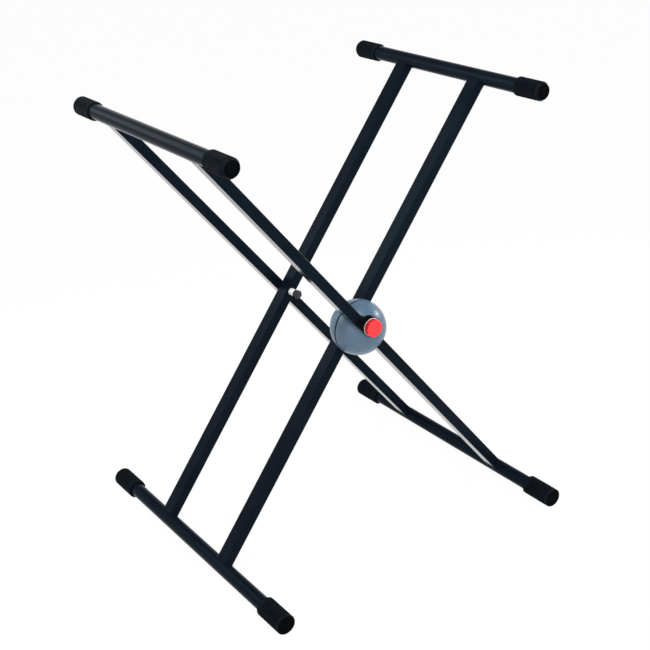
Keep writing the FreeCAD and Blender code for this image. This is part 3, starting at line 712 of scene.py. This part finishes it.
    def _press_ribs(self, bm: bmesh.types.BMesh) -> None:
        """Press the ribs and their cross rows into the cap's side, and mark how high each point stands,
        which the rubber turns into painted light and shade.
        """
        start, end = self._rib_zone()
        relief = bm.verts.layers.float.new(RELIEF)
        for vertex in bm.verts:
            radius = math.hypot(vertex.co.x, vertex.co.z)
            side = radius > self.radius - self.nose_taper - self.nose_round
            behind_end = vertex.co.y < self.length - self.edge_margin
            # painted light: the plain side band gets nearly the crests' lightness, and the end and the bore
            # get none, so they stay dark
            vertex[relief] = self.smooth_band_light if side and behind_end else 0.0
            if radius < self.radius - self.edge_margin or not start < vertex.co.y < end:
                continue
            rib = math.atan2(vertex.co.z, vertex.co.x) / FULL_TURN * self.ribs
            row = (vertex.co.y - start) / self.row_pitch
            low = 1 - abs(math.cos(math.pi * rib))
            if self.kind is CapKind.SUPPORT:
                crossing = 1 - abs(math.cos(math.pi * (rib + row)))
                low = low * (1 - self.row_share) + crossing * self.row_share
            vertex[relief] = 1 - low
            scale = 1 - self.rib_depth * low / radius
            vertex.co.x *= scale
            vertex.co.z *= scale


# ------------------------------------------------------------------- weld beads


@dataclass
class WeldBead:
    """The rippled bead that welds one leg's end to its round bar."""

    frame: str
    end: str
    bar: CapKind
    radius: float = 1.6 * MM
    segments: int = 8
    stations: int = 120
    ripples: int = 30
    ripple: float = 0.14
    corner: float = 2.5 * MM
    leg_width: float = 20 * MM
    sharp_angle: float = 80.0

    def build(self, material: bpy.types.Material) -> bpy.types.Object:
        """Model the bead where the leg's tube meets the bar.

        Args:
            material: The powder coat that covers it.

        Returns:
            The piece.
        """
        places = self._path()
        bm = bmesh.new()
        rings = []
        for number, place in enumerate(places):
            ahead = places[(number + 1) % len(places)] - places[number - 1]
            swell = 1 + self.ripple * math.sin(FULL_TURN * self.ripples * number / self.stations)
            made = bmesh.ops.create_circle(bm, segments=self.segments, radius=self.radius * swell)
            turn = ahead.to_track_quat("Z", "Y").to_matrix().to_4x4()
            bmesh.ops.transform(bm, matrix=Matrix.Translation(place) @ turn, verts=made["verts"])
            rings.append({edge for vertex in made["verts"] for edge in vertex.link_edges})
        for ring, following in zip(rings, rings[1:] + rings[:1]):
            bmesh.ops.bridge_loops(bm, edges=list(ring | following))
        bmesh.ops.recalc_face_normals(bm, faces=bm.faces)
        piece = finish_mesh(bm, f"weld_{self.bar.value}_{self.frame}_{self.end}", self.sharp_angle)
        piece.data.materials.append(material)
        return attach(piece, f"frame_{self.frame}")

    def _path(self) -> list[Vector]:
        """The bead's middle line, round the leg's tube and on the bar."""
        middles = {}
        for kind in CapKind:
            low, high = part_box(f"{kind.value}_bar_{self.frame}")
            middles[kind] = mid_line(low, high)
            bar_radius = (high.x - low.x) / 2
        other = CapKind.FOOT if self.bar is CapKind.SUPPORT else CapKind.SUPPORT
        towards = (middles[other] - middles[self.bar]).normalized()
        across = towards.cross(BACKWARD)
        leg_low, leg_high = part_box(f"leg_{self.frame}_{self.end}")
        origin = middles[self.bar] + BACKWARD * (leg_low.y + leg_high.y) / 2
        places = []
        for number in range(self.stations):
            aside, along = self._round_tube(number / self.stations, leg_high.y - leg_low.y)
            rise = math.sqrt(bar_radius ** 2 - aside ** 2)
            places.append(origin + towards * rise + across * aside + BACKWARD * along)
        return places

    def _round_tube(self, share: float, depth: float) -> tuple[float, float]:
        """A point of the leg tube's outline.

        Args:
            share: How far round the outline, from 0 to 1.
            depth: The tube's size along Y.

        Returns:
            The point's places across the leg and along Y, from the tube's middle.
        """
        flats = (depth - 2 * self.corner, self.leg_width - 2 * self.corner)
        bend = QUARTER_TURN * self.corner
        left = share * 2 * (sum(flats) + 2 * bend)
        aside, along = flats[1] / 2 + self.corner, -flats[0] / 2
        heading = QUARTER_TURN
        for side in range(4):
            flat = flats[side % 2]
            run = min(left, flat)
            aside, along = aside + run * math.cos(heading), along + run * math.sin(heading)
            left -= run
            turn = min(left, bend) / self.corner
            middle = (aside - self.corner * math.sin(heading), along + self.corner * math.cos(heading))
            aside = middle[0] + self.corner * math.sin(heading + turn)
            along = middle[1] - self.corner * math.cos(heading + turn)
            heading += turn
            left -= turn * self.corner
            if left <= 0:
                break
        return aside, along


# ------------------------------------------------------------------- ball, button and pivot pieces


@dataclass
class EasedPiece:
    """A finely edged copy of one frame node: its convex edges are rounded as on the made piece."""

    node: str
    slot: Slot
    easing: float
    edge_angle: float = 35.0
    easing_steps: int = 2
    flat_angle: float = 0.4

    def build(self, node: bpy.types.Object, material: bpy.types.Material) -> bpy.types.Object:
        """Model the piece.

        Args:
            node: The frame's node.
            material: The piece's finish.

        Returns:
            The piece.
        """
        bm = bmesh.new()
        bm.from_mesh(node.data)
        bmesh.ops.remove_doubles(bm, verts=bm.verts, dist=MERGE_DISTANCE)
        self.shape(bm)
        bmesh.ops.dissolve_limit(bm, angle_limit=math.radians(self.flat_angle), verts=bm.verts,
                                 edges=bm.edges)
        limit = math.radians(self.edge_angle)
        edges = [edge for edge in bm.edges if edge.is_convex and edge.calc_face_angle(0) > limit]
        bmesh.ops.bevel(bm, geom=edges, offset=self.easing, offset_type="OFFSET",
                        segments=self.easing_steps, profile=0.5, affect="EDGES", material=-1,
                        clamp_overlap=True)
        bmesh.ops.triangulate(bm, faces=[face for face in bm.faces if len(face.verts) > 4])
        piece = finish_mesh(bm, f"eased_{self.node}")
        self.shade(piece.data)
        piece.data.materials.append(material)
        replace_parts(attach(piece, node["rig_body"]), self.node)
        return piece

    def shape(self, bm: bmesh.types.BMesh) -> None:
        """Change the merged copy before its edges are eased. A plain piece needs nothing."""

    def shade(self, mesh: bpy.types.Mesh) -> None:
        """Correct the finished mesh's normals. A plain piece needs nothing."""


@dataclass
class BallShell(EasedPiece):
    """Half of the ball, drawn back from the seam so that a dark line shows round it."""

    draw_back: float = 1.7 * MM
    round_band: float = 0.05 * MM
    round_face: float = 0.995

    def shape(self, bm: bmesh.types.BMesh) -> None:
        """Cut the shell's rim back from the seam and close it again."""
        low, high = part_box(self.node)
        front = self.node.endswith("front")
        rim = high.y - self.draw_back if front else low.y + self.draw_back
        geometry = bm.verts[:] + bm.edges[:] + bm.faces[:]
        cut = bmesh.ops.bisect_plane(bm, geom=geometry, dist=MERGE_DISTANCE, plane_co=(0, rim, 0),
                                     plane_no=BACKWARD, clear_outer=front, clear_inner=not front)
        loops = [item for item in cut["geom_cut"] if isinstance(item, bmesh.types.BMEdge)]
        bmesh.ops.bridge_loops(bm, edges=loops)
        bmesh.ops.recalc_face_normals(bm, faces=bm.faces)

    def shade(self, mesh: bpy.types.Mesh) -> None:
        """Point the normals of the round outside straight out from the ball's middle."""
        low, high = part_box(self.node)
        seam = high.y if self.node.endswith("front") else low.y
        middle = mid_line(low, high, seam)
        radius = (high.x - low.x) / 2
        corners = []
        for loop in mesh.loops:
            out = mesh.vertices[loop.vertex_index].co - middle
            round_here = abs(out.length - radius) < self.round_band
            corners.append(out.normalized() if round_here else Vector())
        for face in mesh.polygons:
            away = (face.center - middle).normalized()
            if face.normal.dot(away) < self.round_face:
                for corner in face.loop_indices:
                    corners[corner] = Vector()
        mesh.normals_split_custom_set(corners)


@dataclass
class ButtonSpring:
    """The coil spring behind the button, which closes up as the button is pressed."""

    node: str = "button_spring"
    wire: float = 1.1 * MM
    turns: int = 8
    steps_in_turn: int = 28
    wire_sides: int = 12
    travel: float = 4 * MM
    sharp_angle: float = 60.0

    def build(self, material: bpy.types.Material) -> bpy.types.Object:
        """Model the spring.

        Args:
            material: Its steel.

        Returns:
            The piece.
        """
        low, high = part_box(self.node)
        length = high.y - low.y
        coil_radius = (high.x - low.x) / 2 - self.wire / 2
        steps = self.turns * self.steps_in_turn
        bm = bmesh.new()
        start = Matrix.Translation((coil_radius, self.wire / 2, 0))
        made = bmesh.ops.create_circle(bm, segments=self.wire_sides, radius=self.wire / 2, matrix=start)
        loop = list({edge for vertex in made["verts"] for edge in vertex.link_edges})
        bmesh.ops.spin(bm, geom=made["verts"] + loop, cent=(0, 0, 0), axis=BACKWARD,
                       dvec=BACKWARD * (length - self.wire) / steps, angle=self.turns * FULL_TURN,
                       steps=steps, use_merge=False)
        bmesh.ops.holes_fill(bm, edges=[edge for edge in bm.edges if edge.is_boundary], sides=0)
        bmesh.ops.recalc_face_normals(bm, faces=bm.faces)
        bmesh.ops.translate(bm, vec=mid_line(low, high, low.y), verts=bm.verts)
        piece = finish_mesh(bm, f"coiled_{self.node}", self.sharp_angle)
        piece.data.materials.append(material)
        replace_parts(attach(piece, "button"), self.node)
        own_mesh(piece)
        return piece


@dataclass
class SeamShadeRing:
    """A black ring set in the ball's seam between the two halves: painted shade that stands for the dark gap
    there.
    """

    half_width: float
    depth: float = 1.1 * MM
    thickness: float = 1.2 * MM
    clearance: float = 0.05 * MM
    steps: int = 128

    def build(self, material: bpy.types.Material) -> bpy.types.Object:
        """Model the ring.

        Args:
            material: Its plastic.

        Returns:
            The piece.
        """
        low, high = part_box("ball_shell_front")
        outer = (high.x - low.x) / 2 - self.depth
        inner = outer - self.thickness
        half = self.half_width - self.clearance
        outline = [(outer, -half), (outer, half), (inner, half), (inner, -half), (outer, -half)]
        bm = spin_profile(outline, self.steps)
        bmesh.ops.translate(bm, vec=mid_line(low, high, high.y), verts=bm.verts)
        piece = finish_mesh(bm, "ball_seam_shade_ring")
        piece.data.materials.append(material)
        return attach(piece, "frame_b")


# ------------------------------------------------------------------- studio


@dataclass
class SoftBox:
    """A soft lamp."""

    name: str
    place: Vector
    aim: Vector
    width: float
    height: float
    watts: float
    tint: Colour = (1, 1, 1)
    shape: str = "RECTANGLE"

    def build(self) -> None:
        """Add the lamp."""
        light = bpy.data.lights.new(self.name, "AREA")
        light.shape = self.shape
        light.size, light.size_y = self.width, self.height
        light.energy = self.watts
        light.color = self.tint
        lamp = bpy.data.objects.new(self.name, light)
        lamp.location = self.place
        lamp.rotation_euler = (self.aim - self.place).to_track_quat("-Z", "Y").to_euler()
        bpy.context.scene.collection.objects.link(lamp)


@dataclass
class Studio:
    """A white room with a plain floor, soft lamps and the photograph's camera."""

    camera_place: tuple[float, float, float] = (-1.1834, -1.8101, 1.3681)
    camera_turn: tuple[float, float, float] = (65.519, 3.065, -34.768)
    lens: float = 67.97
    sensor: float = 36.0
    floor_radius: float = 30.0
    floor_segments: int = 96
    floor_colour: Colour = (0.93, 0.93, 0.93)
    floor_glow: float = 0.96
    fill: float = 0.55
    dome: float = 0.10
    sweep_top: tuple[float, float] = (0.30, 0.70)
    ball: Vector = field(default_factory=lambda: Vector((0, -0.124, 0.4236)))

    def build(self) -> None:
        """Add the camera, floor, world and lamps."""
        self._camera()
        self._floor()
        self._world()
        for lamp in self._lamps():
            lamp.build()
        bpy.context.scene.view_settings.view_transform = "Standard"

    def _camera(self) -> None:
        """Stand the camera where the photograph was taken from."""
        data = bpy.data.cameras.new("photograph")
        data.lens, data.sensor_width = self.lens, self.sensor
        camera = bpy.data.objects.new("photograph", data)
        camera.location = self.camera_place
        camera.rotation_euler = [math.radians(turn) for turn in self.camera_turn]
        bpy.context.scene.collection.objects.link(camera)
        bpy.context.scene.camera = camera

    def _floor(self) -> None:
        """Lay the floor, white to the camera and with the stand's soft shadow."""
        bm = bmesh.new()
        bmesh.ops.create_circle(bm, cap_ends=True, segments=self.floor_segments,
                                radius=self.floor_radius)
        floor = finish_mesh(bm, "floor")
        material = bpy.data.materials.new("white_floor")
        material.use_nodes = True
        graph = Graph(material.node_tree)
        paint = graph.node("ShaderNodeBsdfDiffuse", None, {"Color": (*self.floor_colour, 1)})
        glow = graph.node("ShaderNodeEmission", None, {"Strength": 1.0})
        factor = rays_to_camera(graph).highest(rays_to_mirror(graph)) * self.floor_glow
        mixed = graph.node("ShaderNodeMixShader", None,
                           {0: factor, 1: paint.outputs[0], 2: glow.outputs[0]})
        graph.node("ShaderNodeOutputMaterial", None, {"Surface": mixed.outputs[0]})
        floor.data.materials.append(material)

    def _world(self) -> None:
        """Fill the room with plain light, white where it is seen."""
        world = bpy.data.worlds.new("white_room")
        world.use_nodes = True
        graph = Graph(world.node_tree)
        direction = graph.node("ShaderNodeTexCoord").outputs["Generated"]
        height = Value(graph, graph.node("ShaderNodeSeparateXYZ", None, {0: direction}).outputs["Z"])
        mirrored = 1 - height.step_between(*self.sweep_top) * (1 - self.dome)
        camera, mirror = rays_to_camera(graph), rays_to_mirror(graph)
        strength = self.fill + camera * (1 - self.fill) + mirror * (mirrored - self.fill)
        sockets = {"Color": (1, 1, 1, 1), "Strength": strength}
        background = graph.node("ShaderNodeBackground", None, sockets)
        graph.node("ShaderNodeOutputWorld", None, {"Surface": background.outputs[0]})
        bpy.context.scene.world = world

    def _lamps(self) -> list[SoftBox]:
        """The lamps: one small and bright at the right, and broad ones all round."""
        return [
            SoftBox("right_lamp", place=Vector((1.667, -0.315, 1.073)), aim=self.ball, width=0.34,
                    height=0.34, watts=11, shape="ELLIPSE"),
            SoftBox("left_lamp", place=Vector((-1.9, -0.9, 1.05)), aim=self.ball, width=1.0,
                    height=1.0, watts=7, tint=(0.90, 0.94, 1.0)),
            SoftBox("top_lamp", place=Vector((-0.3, -0.6, 2.2)), aim=self.ball, width=0.9,
                    height=0.9, watts=22),
            SoftBox("rear_lamp", place=Vector((-1.05, 0.85, 1.55)), aim=Vector((-0.3, 0, 0.8)), width=1.3,
                    height=1.3, watts=14, tint=(0.90, 0.96, 1.0)),
            SoftBox("front_lamp", place=Vector((0.6, -2.2, 1.0)), aim=self.ball, width=0.9,
                    height=0.9, watts=20),
        ]


def rays_to_camera(graph: Graph) -> Value:
    """1 where the camera looks straight at the room, and 0 elsewhere."""
    return Value(graph, graph.node("ShaderNodeLightPath").outputs["Is Camera Ray"])


def rays_to_mirror(graph: Graph) -> Value:
    """1 where a glossy or clear surface shows the room, and 0 elsewhere."""
    rays = graph.node("ShaderNodeLightPath").outputs
    return Value(graph, rays["Is Glossy Ray"]).highest(Value(graph, rays["Is Transmission Ray"]))


# ------------------------------------------------------------------- the stand


@dataclass
class Stand:
    """The whole stand: the frame's nodes in their finishes and the pieces that replace some."""

    nodes: dict[str, bpy.types.Object]
    finishes: dict[Slot, bpy.types.Material]
    bar_sheen: float = 0.30

    def dress_nodes(self) -> None:
        """Give every node of the frame the finish of its slot. The round bars' coat is less glossy."""
        bar_coat = PowderCoat("bar_powder_coat", sheen=self.bar_sheen).material()
        for name, node in sorted(self.nodes.items()):
            slot = Slot(node.data.materials[0].name.split(".")[0])
            node.data.materials[0] = bar_coat if "_bar_" in name else self.finishes[slot]
            LOG.info("%s in %s", name, slot.value)

    def build_eased(self) -> None:
        """Model the pieces whose edges catch the light."""
        pieces = [
            BallShell("ball_shell_front", Slot.BALL, easing=0.35 * MM),
            BallShell("ball_shell_rear", Slot.BALL, easing=0.35 * MM),
            EasedPiece("button_cowl", Slot.COWL, easing=0.6 * MM),
            EasedPiece("button_guide_ring", Slot.NYLON, easing=0.15 * MM),
            EasedPiece("pivot_nut_rear", Slot.BLACK_OXIDE, easing=0.3 * MM),
            EasedPiece("pivot_sleeve_rear", Slot.NYLON, easing=0.3 * MM),
            EasedPiece("rear_spacer_washer", Slot.BLACK_NYLON, easing=0.3 * MM),
            EasedPiece("push_button", Slot.BUTTON, easing=1.1 * MM, easing_steps=4),
        ]
        for piece in pieces:
            report(piece.build(self.nodes[piece.node], self.finishes[piece.slot]))

    def build_seam(self) -> None:
        """Model the ring of painted shade in the ball's seam."""
        report(SeamShadeRing(BallShell.draw_back).build(self.finishes[Slot.COWL]))

    def build_spring(self) -> None:
        """Model the button's spring."""
        report(ButtonSpring().build(self.finishes[Slot.SPRING]))

    def build_welds(self) -> None:
        """Model the eight weld beads."""
        for bar, frame, end in bar_ends():
            report(WeldBead(frame, end, bar).build(self.finishes[Slot.POWDER_COAT]))

    def build_caps(self) -> None:
        """Model the eight rubber caps."""
        for bar, frame, end in bar_ends():
            report(RubberCap(bar, frame, end).build(self.finishes[Slot.RUBBER]))


def main() -> None:
    """Build the stand and its studio."""
    logging.basicConfig(level=logging.INFO, format="%(message)s")
    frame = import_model()
    Studio().build()
    stand = Stand(frame["nodes"], all_finishes())
    stand.dress_nodes()
    stand.build_caps()
    stand.build_welds()
    stand.build_eased()
    stand.build_seam()
    stand.build_spring()


if __name__ == "__main__":
    main()
